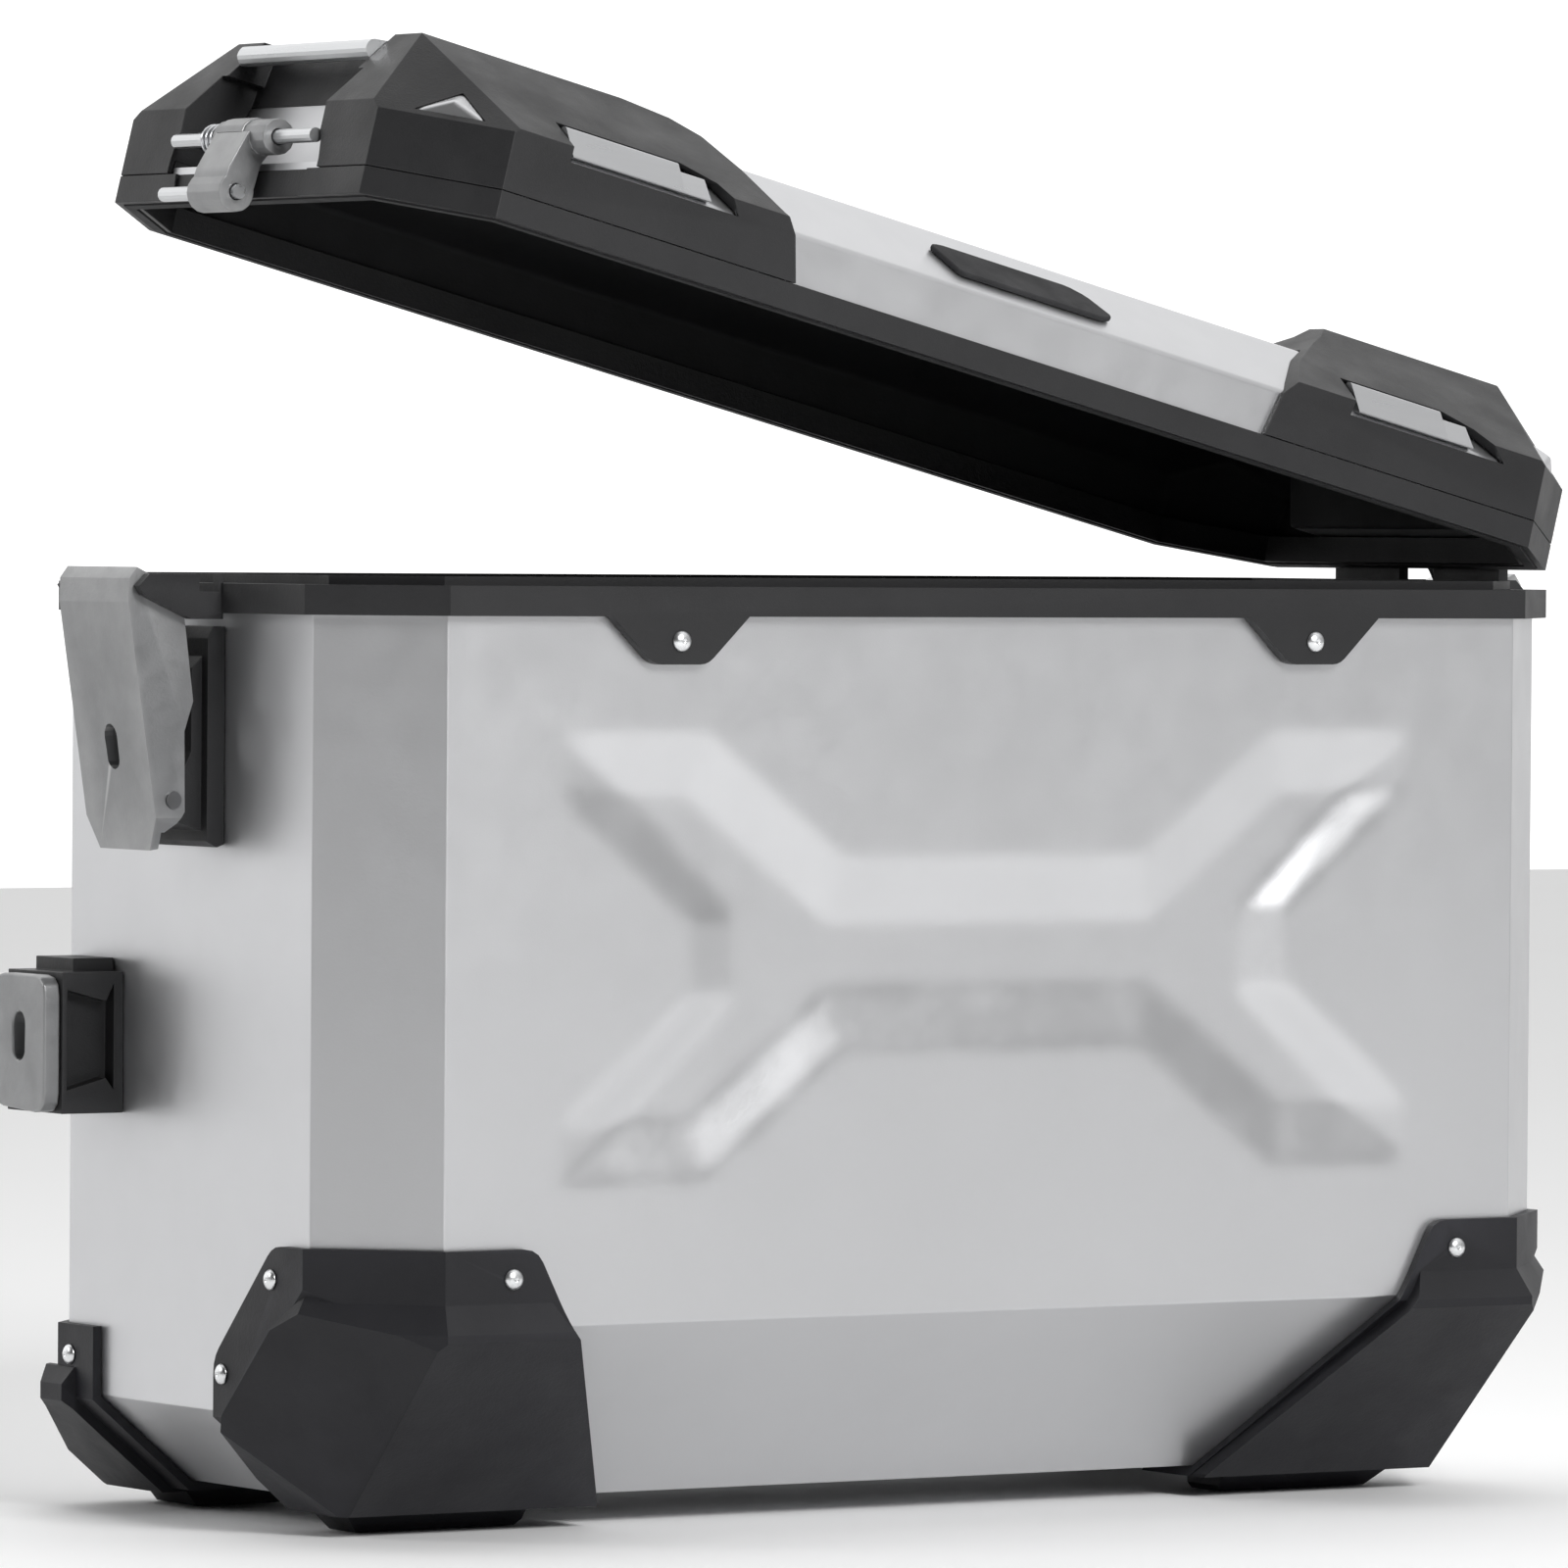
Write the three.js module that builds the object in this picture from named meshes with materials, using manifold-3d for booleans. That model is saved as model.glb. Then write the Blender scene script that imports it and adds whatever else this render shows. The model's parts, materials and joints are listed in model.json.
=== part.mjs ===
// Hard aluminium motorcycle pannier with a hinged lid, shown with the lid part open.
// Units are millimetres. X runs along the case, +X at the hinge end, -Y is the front, +Z is up.
import * as THREE from 'three';
import { mergeVertices } from 'three/addons/utils/BufferGeometryUtils.js';
import Module from 'manifold-3d';

const wasm = await Module();
wasm.setup();

// ---- driving dimensions -------------------------------------------------
const HALF_LENGTH = 250;
const HALF_DEPTH = 113.5;
const CORNER = 32.4;
const WALL = 2;
const GAP = 0.3;
const FLOOR_Z = 10.5;
const FRONT_FOLD_Z = 72.6;
const END_FOLD_Z = 41;
const END_SLOPE_RUN = 36;
const BACK_CHAMFER = 12;
const CORNER_NORMAL = [0.7275, -0.4756, -0.4945];
const CORNER_REACH = 178;
const SHELL_TOP = 314;
const RIM_LOW = 308.5;
const RIM_TOP = 318.5;
const RIM_LIP = 321.5;
const RIM_OVERHANG = 4.6;
const LID_OVERHANG = 2.2;
const LID_BASE = 319.3;
const LID_BAND = 9.5;
const LID_FOLD = 26.5;
const LID_TOP = 48;
const CAP_FOLD = 29.5;
const CAP_TOP = 62;
const CAP_SLOPE_RUN = 55;
const CAP_WIDEN = 1.0405;
const LID_OPEN_DEG = 14.1;
const HINGE_X = 277.5;
const HINGE_Z = 311;
const LATCH_HALF_WIDTH = 23.5;
const LATCH_PIVOT = [270, 246];
const CATCH_BAR = [253, 339.9];
const ROUND = 14;
const CENTRE_Y = 1.4;

// ---- materials ----------------------------------------------------------
const paint = (color, roughness, metalness) => new THREE.MeshStandardMaterial({ color, roughness, metalness });
const MATERIAL = {
  aluminium: paint(0xc4c6c9, 0.42, 0.9),
  black: paint(0x303134, 0.62, 0.0),
  guard: paint(0x2b2b2d, 0.7, 0.0),
  cast: paint(0x9b9c9e, 0.45, 0.9),
  steel: paint(0xc9cacc, 0.25, 1.0),
  rubber: paint(0x151516, 0.85, 0.0),
};

const group = new THREE.Group();
group.name = 'pannier';

// ---- solid helpers ------------------------------------------------------
function solid(geometry) {
  let g = geometry.clone();
  for (const name of Object.keys(g.attributes)) {
    if (name !== 'position') g.deleteAttribute(name);
  }
  g = mergeVertices(g, 1e-4);
  return new wasm.Manifold(new wasm.Mesh({
    numProp: 3,
    vertProperties: Float32Array.from(g.attributes.position.array),
    triVerts: Uint32Array.from(g.index.array),
  }));
}

function add(name, shape, material, inLid = false, move = null) {
  const mesh = shape.getMesh();
  const g = new THREE.BufferGeometry();
  g.setAttribute('position', new THREE.BufferAttribute(Float32Array.from(mesh.vertProperties), 3));
  g.setIndex(new THREE.BufferAttribute(Uint32Array.from(mesh.triVerts), 1));
  if (move) g.applyMatrix4(move);
  if (inLid) g.applyMatrix4(LID_POSE);
  g.translate(0, CENTRE_Y, 0);
  g.computeVertexNormals();
  const m = new THREE.Mesh(g, MATERIAL[material]);
  m.name = name;
  group.add(m);
  return m;
}

const turnAboutY = (x, z, degrees) => new THREE.Matrix4().makeTranslation(x, 0, z)
  .multiply(new THREE.Matrix4().makeRotationY(THREE.MathUtils.degToRad(degrees)))
  .multiply(new THREE.Matrix4().makeTranslation(-x, 0, -z));
const LID_POSE = turnAboutY(HINGE_X, HINGE_Z, LID_OPEN_DEG);

// Moves every side of a counter-clockwise outline outwards by d.
function offsetLoop(points, d) {
  const n = points.length;
  return points.map((p, i) => {
    const a = points[(i + n - 1) % n];
    const b = points[(i + 1) % n];
    const u = new THREE.Vector2(p[0] - a[0], p[1] - a[1]).normalize();
    const v = new THREE.Vector2(b[0] - p[0], b[1] - p[1]).normalize();
    const cross = u.x * v.y - u.y * v.x;
    const along = d * Math.tan(Math.atan2(cross, u.dot(v)) / 2);
    return [p[0] + u.y * d + u.x * along, p[1] - u.x * d + u.y * along];
  });
}

const outline = (points) => new THREE.Shape(points.map(([a, b]) => new THREE.Vector2(a, b)));
const extrude = (points, depth) => new THREE.ExtrudeGeometry(outline(points), { depth, bevelEnabled: false });

// Prisms along each axis: the outline is (x, y), (y, z) or (x, z).
function prismZ(points, low, high) {
  return solid(extrude(points, high - low).translate(0, 0, low));
}
function prismX(points, low, high) {
  const g = extrude(points, high - low);
  g.applyMatrix4(new THREE.Matrix4().makeBasis(
    new THREE.Vector3(0, 1, 0), new THREE.Vector3(0, 0, 1), new THREE.Vector3(1, 0, 0)));
  return solid(g.translate(low, 0, 0));
}
function prismY(points, low, high) {
  const g = extrude(points, high - low);
  g.applyMatrix4(new THREE.Matrix4().makeBasis(
    new THREE.Vector3(1, 0, 0), new THREE.Vector3(0, 0, 1), new THREE.Vector3(0, -1, 0)));
  return solid(g.translate(0, high, 0));
}
const block = (x0, x1, y0, y1, z0, z1) => solid(
  new THREE.BoxGeometry(x1 - x0, y1 - y0, z1 - z0).translate((x0 + x1) / 2, (y0 + y1) / 2, (z0 + z1) / 2));
const rodY = (x, z, radius, low, high, sides = ROUND) => solid(
  new THREE.CylinderGeometry(radius, radius, high - low, sides).translate(x, (low + high) / 2, z));
const rodX = (y, z, radius, low, high, sides = ROUND) => solid(
  new THREE.CylinderGeometry(radius, radius, high - low, sides).rotateZ(Math.PI / 2)
    .translate((low + high) / 2, y, z));

function reflect(shape, sx, sy) {
  const mesh = shape.getMesh();
  const scale = [sx, sy, 1];
  const points = Float32Array.from(mesh.vertProperties, (v, i) => v * scale[i % 3]);
  const faces = Uint32Array.from(mesh.triVerts);
  for (let i = 0; i < faces.length; i += 3) {
    [faces[i], faces[i + 1]] = [faces[i + 1], faces[i]];
  }
  return new wasm.Manifold(new wasm.Mesh({ numProp: 3, vertProperties: points, triVerts: faces }));
}
const mirrorX = (shape) => reflect(shape, -1, 1);
const mirrorY = (shape) => reflect(shape, 1, -1);

function roundedOutline(points, radius, steps = 3) {
  const n = points.length;
  const out = [];
  points.forEach((p, i) => {
    const a = new THREE.Vector2(...points[(i + n - 1) % n]);
    const b = new THREE.Vector2(...points[(i + 1) % n]);
    const c = new THREE.Vector2(...p);
    const r = Array.isArray(radius) ? radius[i] : radius;
    if (!r) {
      out.push(p);
      return;
    }
    const start = c.clone().add(a.sub(c).setLength(r));
    const end = c.clone().add(b.sub(c).setLength(r));
    new THREE.QuadraticBezierCurve(start, c, end).getPoints(steps).forEach((q) => out.push([q.x, q.y]));
  });
  return out;
}

// ---- shared outlines ----------------------------------------------------
const L = HALF_LENGTH;
const D = HALF_DEPTH;
const PLAN = [
  [-L + CORNER, -D], [L - CORNER, -D], [L, -D + CORNER], [L, D - CORNER],
  [L - CORNER, D], [-L + CORNER, D], [-L, D - CORNER], [-L, -D + CORNER],
];
const SIDE = [
  [-D, 600], [-D, FRONT_FOLD_Z], [-D + FRONT_FOLD_Z - FLOOR_Z, FLOOR_Z],
  [D - BACK_CHAMFER, FLOOR_Z], [D, FLOOR_Z + BACK_CHAMFER], [D, 600],
];
const END = [
  [-L, 600], [-L, END_FOLD_Z], [-L + END_SLOPE_RUN, FLOOR_Z],
  [L - END_SLOPE_RUN, FLOOR_Z], [L, END_FOLD_Z], [L, 600],
];

// The case's outer shape moved outwards by d, from its floor up to top.
function envelope(d, top) {
  const cut = cornerCut(d);
  return prismZ(offsetLoop(PLAN, d), -20, top)
    .intersect(prismX(offsetLoop(SIDE, d), -400, 400))
    .intersect(prismY(offsetLoop(END, d), -200, 200))
    .subtract(cut).subtract(mirrorX(cut));
}

// Everything beyond the plane with the given outward normal at the given distance from the origin.
function beyond(normal, reach) {
  const g = new THREE.BoxGeometry(600, 600, 300).translate(0, 0, 150 + reach);
  const turn = new THREE.Quaternion().setFromUnitVectors(new THREE.Vector3(0, 0, 1),
    new THREE.Vector3(...normal).normalize());
  return solid(g.applyQuaternion(turn));
}
// The slanted facet that takes off each lower front corner.
const cornerCut = (d) => beyond(CORNER_NORMAL, CORNER_REACH + d);

const SWAGE_DEPTH = 4;
const SWAGE_Z = 194.5;
const SWAGE_RIM = [[122, 14], [173, 56], [173, 74], [115, 74], [61, 31.5]];
const SWAGE_FLOOR = [[103, 13], [145, 52], [148, 55.2], [122, 55], [66, 12]];
function swageOutline(corner) {
  const upper = corner.concat(corner.slice().reverse().map(([x, z]) => [-x, z]));
  const lower = upper.slice().reverse().map(([x, z]) => [x, -z]);
  return upper.concat(lower).map(([x, z]) => [x, z + SWAGE_Z]);
}
// The sloping band is lofted between the outline in the wall and the outline of the pressed floor.
function swageTool(inward) {
  const rim = swageOutline(SWAGE_RIM);
  const floor = swageOutline(SWAGE_FLOOR);
  const n = rim.length;
  const face = -D + inward;
  const points = rim.map(([x, z]) => [x, face, z]).concat(floor.map(([x, z]) => [x, face + SWAGE_DEPTH, z]));
  const faces = [];
  const cap = (loop, first, turned) => {
    const flat = loop.map(([x, z]) => new THREE.Vector2(x, z));
    for (const [a, b, c] of THREE.ShapeUtils.triangulateShape(flat, [])) {
      faces.push(turned ? [first + a, first + c, first + b] : [first + a, first + b, first + c]);
    }
  };
  const turned = THREE.ShapeUtils.area(rim.map(([x, z]) => new THREE.Vector2(x, z))) < 0;
  cap(rim, 0, turned);
  cap(floor, n, !turned);
  for (let i = 0; i < n; i += 1) {
    const j = (i + 1) % n;
    faces.push(turned ? [i, j, n + j] : [i, n + j, j], turned ? [i, n + j, n + i] : [i, n + i, n + j]);
  }
  const g = new THREE.BufferGeometry();
  g.setAttribute('position', new THREE.Float32BufferAttribute(points.flat(), 3));
  g.setIndex(faces.flat());
  return solid(g).add(prismY(rim, face - 6, face));
}

// ---- rivets -------------------------------------------------------------
const RIVET_SHANK = 1.7;
const RIVET_HOLE = 2.0;
const RIVET_HEAD = 3.5;
const holes = [];

// A rivet at (x, y, z) whose head faces the direction given and whose tail is inside the wall.
function rivet(name, x, y, z, facing, cover) {
  const face = cover + GAP;
  const tail = -WALL - GAP - 1;
  const profile = [
    [0, face + 1.8], [1.9, face + 1.5], [RIVET_HEAD, face + 0.5], [RIVET_HEAD, face],
    [RIVET_SHANK, face], [RIVET_SHANK, -WALL - GAP], [2.8, -WALL - GAP], [2.8, tail], [0, tail],
  ].map(([r, h]) => new THREE.Vector2(r, h)).reverse();
  const g = new THREE.LatheGeometry(profile, 10);
  const hole = new THREE.CylinderGeometry(RIVET_HOLE, RIVET_HOLE, 24, 10);
  const turn = new THREE.Matrix4();
  if (facing === 'front') turn.makeRotationX(Math.PI);
  if (facing === 'left') turn.makeRotationZ(Math.PI / 2);
  if (facing === 'right') turn.makeRotationZ(-Math.PI / 2);
  const place = new THREE.Matrix4().makeTranslation(x, y, z);
  g.applyMatrix4(turn).applyMatrix4(place);
  hole.applyMatrix4(turn).applyMatrix4(place);
  holes.push(solid(hole));
  add(name, solid(g), 'steel');
}

const FLANGE = 3.5;
const FRONT_COVER = 4.6;
for (const [side, s] of [['left', -1], ['right', 1]]) {
  rivet(`rim_rivet_front_${side}`, s * 129.5, -D, 300.3, 'front', FRONT_COVER);
  rivet(`rim_rivet_back_${side}`, s * 129.5, D, 300.3, 'back', FRONT_COVER);
  rivet(`guard_rivet_front_${side}`, s * 192.8, -D, 89, 'front', FLANGE);
  rivet(`guard_rivet_end_upper_${side}`, s * L, -62, 87.5, side, FLANGE);
  rivet(`guard_rivet_end_lower_${side}`, s * L, -30, 54, side, FLANGE);
  rivet(`guard_rivet_rear_end_${side}`, s * L, 74, 54, side, FLANGE);
  rivet(`guard_rivet_rear_${side}`, s * 205, D, 54, 'back', FLANGE);
}
const allHoles = holes.reduce((a, b) => a.add(b));

// ---- case shell ---------------------------------------------------------
const skin = envelope(0, SHELL_TOP).subtract(swageTool(0)).subtract(mirrorY(swageTool(0)));
const hollow = envelope(-WALL, SHELL_TOP + 10)
  .subtract(swageTool(WALL)).subtract(mirrorY(swageTool(WALL)));
add('body_shell', skin.subtract(hollow).subtract(allHoles), 'aluminium');

// ---- rim frame with rivet tabs and latch ears ---------------------------
const EAR = [[253.8, RIM_LIP], [282, RIM_LIP], [286, 317.5], [284, 314.5], [266, 306.5], [253.8, 306.5]];
const TAB = [[-27.5, 309], [-10.5, 292.5], [10.5, 292.5], [27.5, 309]];
let rim = prismZ(offsetLoop(PLAN, RIM_OVERHANG), RIM_LOW, RIM_TOP)
  .subtract(prismZ(offsetLoop(PLAN, -10.5), 300, 330))
  .add(prismZ(offsetLoop(PLAN, -7.6), RIM_LOW, RIM_LIP).subtract(prismZ(offsetLoop(PLAN, -10.5), 300, 330)))
  .subtract(prismZ(offsetLoop(PLAN, GAP), 300, SHELL_TOP + GAP)
    .subtract(prismZ(offsetLoop(PLAN, -WALL - GAP), 299, 330)));
for (const s of [-1, 1]) {
  const tab = prismY(roundedOutline(TAB.map(([x, z]) => [x + s * 129.5, z]), [0, 3, 3, 0]),
    -D - RIM_OVERHANG, -D - GAP);
  rim = rim.add(tab).add(mirrorY(tab));
  for (const t of [-1, 1]) {
    const ear = prismY(EAR, 24.2, 28);
    const earX = s > 0 ? ear : mirrorX(ear);
    rim = rim.add(t > 0 ? earX : mirrorY(earX));
  }
}
// Room for the catch: a slot in the ears for its pin and a relief in the rim for its boss.
const catchRoom = block(-263, -255.6, -40, 40, 315.6, 330).add(block(-270, -251.4, -23.9, 23.9, 300, 330));
rim = rim.subtract(catchRoom);
// Two stop blocks on the hinge end, one on each side of the hinge catch.
const STOP = [[254, 308.5], [262, 306], [262, 326], [258, 326], [258, 319.5], [254, 318.4]];
for (const y of [-50, 10.5]) rim = rim.add(prismY(STOP, y, y + 39.5));
add('rim_frame', rim.subtract(allHoles), 'black');

// ---- corner guards ------------------------------------------------------
// The bumper stands out from the flange on a sloping shoulder round its top.
const BUMPER = 9.5;
const SHOULDER_LOW = 71.5;
const SHOULDER_HIGH = 81;
function bumperTop([nx, ny]) {
  const reach = nx === 0 ? D : (ny === 0 ? L : (L + D - CORNER) * Math.SQRT1_2);
  const rise = SHOULDER_HIGH - SHOULDER_LOW;
  const run = BUMPER - FLANGE;
  const normal = new THREE.Vector3(nx * rise, ny * rise, run).normalize();
  const foot = new THREE.Vector3(nx * (reach + BUMPER), ny * (reach + BUMPER), SHOULDER_LOW);
  return beyond(normal.toArray(), normal.dot(foot));
}
function frontGuard() {
  const flangeFront = prismY(roundedOutline(
    [[172, 76], [183.5, 98.8], [300, 98.8], [300, -10], [119, -10], [123, 5]], [6, 5, 0, 0, 0, 4]), -200, 200);
  const flangeEnd = prismX(roundedOutline([[-200, 98.8], [-63, 98.8], [-24, 59], [-24, -10], [-200, -10]],
    [0, 5, 5, 0, 0]), 0, 400);
  const flange = envelope(FLANGE, 98.8).subtract(envelope(GAP, 120))
    .intersect(flangeFront).intersect(flangeEnd);
  const outer = envelope(BUMPER, 84).subtract(bumperTop([0, -1])).subtract(bumperTop([1, 0]))
    .subtract(bumperTop([Math.SQRT1_2, -Math.SQRT1_2]));
  const ridge = prismX([[-200, 84], [-82, 84], [-40, 41], [-26, 18], [-24, -10], [-200, -10]], 0, 400);
  const edge = prismY([[174, 74], [179, 84], [300, 84], [300, -10], [122, -10], [125.5, 8]], -200, 200);
  const bumper = outer.subtract(envelope(GAP, 120)).intersect(ridge).intersect(edge)
    .subtract(block(0, 400, -200, 200, -20, 7));
  const foot = prismX([[-50, 9], [-46, 5], [-41.5, 0], [-24, 0], [-24, 9]], 144, 222)
    .intersect(prismY([[138, 9], [146, 0], [208, 0], [222, 13]], -60, 0))
    .subtract(envelope(GAP, 120));
  return flange.add(bumper).add(foot).subtract(allHoles);
}
function rearGuard() {
  const region = block(150, 400, 58, 200, -20, 64.5)
    .intersect(prismY([[186, 64.5], [400, 64.5], [400, -20], [150, -20], [150, 20]], 0, 200));
  const flange = envelope(FLANGE, 64.5).subtract(envelope(GAP, 120)).intersect(region);
  const bump = prismY([[250.5, 49.8], [254, 49.8], [260, 43], [259, 38.5], [254.5, 35.5], [219, 5.4], [208, 5.4],
    [240, 36]], 70, 110)
    .intersect(envelope(9, 64).add(block(0, 0.1, 0, 0.1, 0, 0.1))).subtract(envelope(GAP, 120))
    .intersect(block(150, 400, 60, 113, 0, 64));
  const foot = prismY([[165, 9], [170, 0], [203, 0], [208, 6], [208, 14], [165, 9.5]], 74, 102)
    .subtract(envelope(GAP, 120));
  return flange.add(bump).add(foot).subtract(allHoles);
}
const front = frontGuard();
const rear = rearGuard();
add('guard_front_right', front, 'guard');
add('guard_front_left', mirrorX(front), 'guard');
add('guard_rear_right', rear, 'guard');
add('guard_rear_left', mirrorX(rear), 'guard');

// ---- latch base, pin and lever, right-hand end then mirrored ------------
const [PX, PZ] = LATCH_PIVOT;
const basePlate = prismY([[250.3, 304], [250.3, 231], [253, 230], [257, 232], [257, 300], [255, 304]],
  -23.5, 23.5);
const baseBoss = prismY([[255, 296], [261, 290], [261, 262], [266, 252], [271.5, 249.5], [273, 246],
  [271.5, 242.5], [266, 238.5], [255, 235]], -19.6, 19.6);
const base = basePlate.add(baseBoss).subtract(rodY(PX, PZ, 2.35, -40, 40));
const pin = rodY(PX, PZ, 2.0, -23.9, 23.9)
  .add(rodY(PX, PZ, 2.9, 23.8, 24.3)).add(rodY(PX, PZ, 2.9, -24.3, -23.8));
const PLATE = [[272, 229.5], [275, 229], [287.6, 312], [287.4, 320], [284.5, 323.8], [276, 319.8],
  [277.5, 317.4], [282.5, 319.4], [284.2, 314]];
const FLANGE_SIDE = [[273, 234], [275.6, 233], [287.6, 312], [287.4, 320], [284.5, 323.8], [276, 319.8],
  [266, 306.5], [262.5, 279], [265.8, 269], [265.5, 242], [268, 238]];
const platePrism = prismY(PLATE, -LATCH_HALF_WIDTH, LATCH_HALF_WIDTH);
const taper = prismX([[-30, 250], [-23.5, 240], [-15, 226], [15, 226], [23.5, 240], [30, 250], [30, 340],
  [-30, 340]], 240, 300);
const keyhole = [];
for (let i = 0; i < 16; i += 1) {
  const a = (i / 16) * Math.PI * 2;
  keyhole.push([4.2 * Math.cos(a), 263.5 + 4.2 * Math.sin(a) + (Math.sin(a) >= 0 ? 3.4 : -3.4)]);
}
const lever = platePrism
  .add(prismY(FLANGE_SIDE, 20.5, LATCH_HALF_WIDTH)).add(prismY(FLANGE_SIDE, -LATCH_HALF_WIDTH, -20.5))
  .intersect(taper)
  .subtract(prismX(keyhole, 262, 300))
  .subtract(rodY(PX, PZ, 2.35, -40, 40));
add('latch_base_right', base, 'black');
add('latch_base_left', mirrorX(base), 'black');
add('latch_pin_right', pin, 'steel');
add('latch_pin_left', mirrorX(pin), 'steel');
// The hinge-end lever is relieved at its top so that the catch can swing past it.
add('latch_lever_right', lever.subtract(block(260, 300, -11, 11, 313, 330)), 'cast');
add('latch_lever_left', mirrorX(lever), 'cast');

// ---- carrier lock on the left end --------------------------------------
const LOCK_Y = 63;
const LOCK_Z = 164;
const lockBody = block(-274, -250.3, LOCK_Y - 19, LOCK_Y + 19, LOCK_Z - 26, LOCK_Z + 22)
  .add(block(-266, -250.3, LOCK_Y - 12, LOCK_Y + 14, LOCK_Z + 21, LOCK_Z + 26.5))
  .subtract(prismY([[-272, LOCK_Z - 18], [-257, LOCK_Z - 14], [-254, LOCK_Z - 18], [-254, LOCK_Z + 18],
    [-257, LOCK_Z + 12], [-272, LOCK_Z + 16]], LOCK_Y - 25, LOCK_Y - 13))
  .subtract(rodX(LOCK_Y, LOCK_Z, 6.3, -280, -262));
add('carrier_lock_base', lockBody, 'black');
const capLoop = roundedOutline([[LOCK_Y - 18, LOCK_Z - 26], [LOCK_Y + 18, LOCK_Z - 24],
  [LOCK_Y + 18, LOCK_Z + 21], [LOCK_Y - 18, LOCK_Z + 21]], 7);
const lockHole = keyhole.map(([y, z]) => [LOCK_Y + y, LOCK_Z + (z - 263.5) * 1.1]);
add('carrier_lock_cap', prismX(capLoop, -280.5, -274.3).subtract(prismX(lockHole, -290, -270)), 'cast');
const core = rodX(LOCK_Y, LOCK_Z, 5.8, -273.5, -263, 16);
const keySlot = block(-280, -268, LOCK_Y - 1, LOCK_Y + 1, LOCK_Z - 4, LOCK_Z + 4);
add('carrier_lock_core', core.subtract(keySlot), 'steel');

// ---- lid: heights here are above the lid's lower edge while closed -------
const at = (z) => LID_BASE + z;
const lidSide = (d, fold, top, run) => offsetLoop([
  [-D, at(-60)], [D, at(-60)], [D, at(fold)], [D - run, at(top)],
  [-D + run, at(top)], [-D, at(fold)]], d);
const lidEnd = (d, fold, top, run) => offsetLoop([
  [-L, at(-60)], [L, at(-60)], [L, at(fold)], [L - run, at(top)],
  [-L + run, at(top)], [-L, at(fold)]], d);
function lidShape(d, low) {
  return prismZ(offsetLoop(PLAN, d), at(low), at(120))
    .intersect(prismX(lidSide(d, LID_FOLD, LID_TOP, 33.5), -400, 400))
    .intersect(prismY(lidEnd(d, LID_FOLD, LID_TOP, 35), -200, 200));
}
const POCKET = [[-260, 12.2], [-234, 12.2], [-222, 60], [-260, 60]];
const pocketTool = (d) => {
  const p = prismY(offsetLoop(POCKET.map(([x, z]) => [x, at(z)]), d), -50 - d, 50 + d);
  return p.add(mirrorX(p));
};
const lidSkin = lidShape(0, 3.3).subtract(pocketTool(0));
const lidHollow = lidShape(-WALL, -10).subtract(pocketTool(WALL));
add('lid_panel', lidSkin.subtract(lidHollow), 'aluminium', true);

const bandRing = prismZ(offsetLoop(PLAN, LID_OVERHANG), at(0), at(LID_BAND))
  .subtract(prismZ(offsetLoop(PLAN, -7), at(-5), at(40)));
const ring = (outer, inner, low, high) => prismZ(offsetLoop(PLAN, outer), at(low), at(high))
  .subtract(prismZ(offsetLoop(PLAN, inner), at(low - 1), at(high + 1)));
const arch = roundedOutline([[-40, at(-3)], [40, at(-3)], [46, at(14)], [-46, at(14)]], [0, 0, 8, 8]);
const archTool = prismX(arch, 250.9, 260).add(prismX(arch, -260, -250.9));
add('lid_frame', bandRing
  .subtract(ring(GAP, -WALL - GAP, 3, 20))
  .subtract(ring(-0.7, -5.3, -1, 1.8))
  .subtract(archTool), 'black', true);
add('lid_gasket', ring(-1, -5, -0.5, 1.5), 'rubber', true);

// Plastic end caps over the lid panel. Each profile runs from the inner edge over the shoulder to the end.
const CAP_END = [[230, CAP_TOP], [254.5, CAP_FOLD], [256, 5]];
const LATCH_CAP = [[98, 5], [103.5, 25.5], [108, 32], [113.5, 46], [121, 56], [131, 60], [149, CAP_TOP]]
  .concat(CAP_END);
const HINGE_CAP = [[98, 5], [103.5, 25.5], [109, 31], [121, 42], [138, 53], [146, 57.5], [152, CAP_TOP]]
  .concat(CAP_END);
// The hinge-end cap is low at the back, up to the post that carries its tie bar.
const HINGE_CAP_REAR = [[98, 5], [103.5, 25.5], [109, 31], [121, 42], [132, 49], [222, 49], [229, 60.5],
  [231.5, 60], [254.5, CAP_FOLD], [256, 5]];
const SLOT_FRONT = [[133, 25.5], [201, 25.5], [191, 35.4], [180, 39.6], [136, 39.6]];
const SLOT_REAR = [[127, 25.5], [195, 25.5], [195, 39.6], [145, 39.6], [133, 35.4]];
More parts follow.
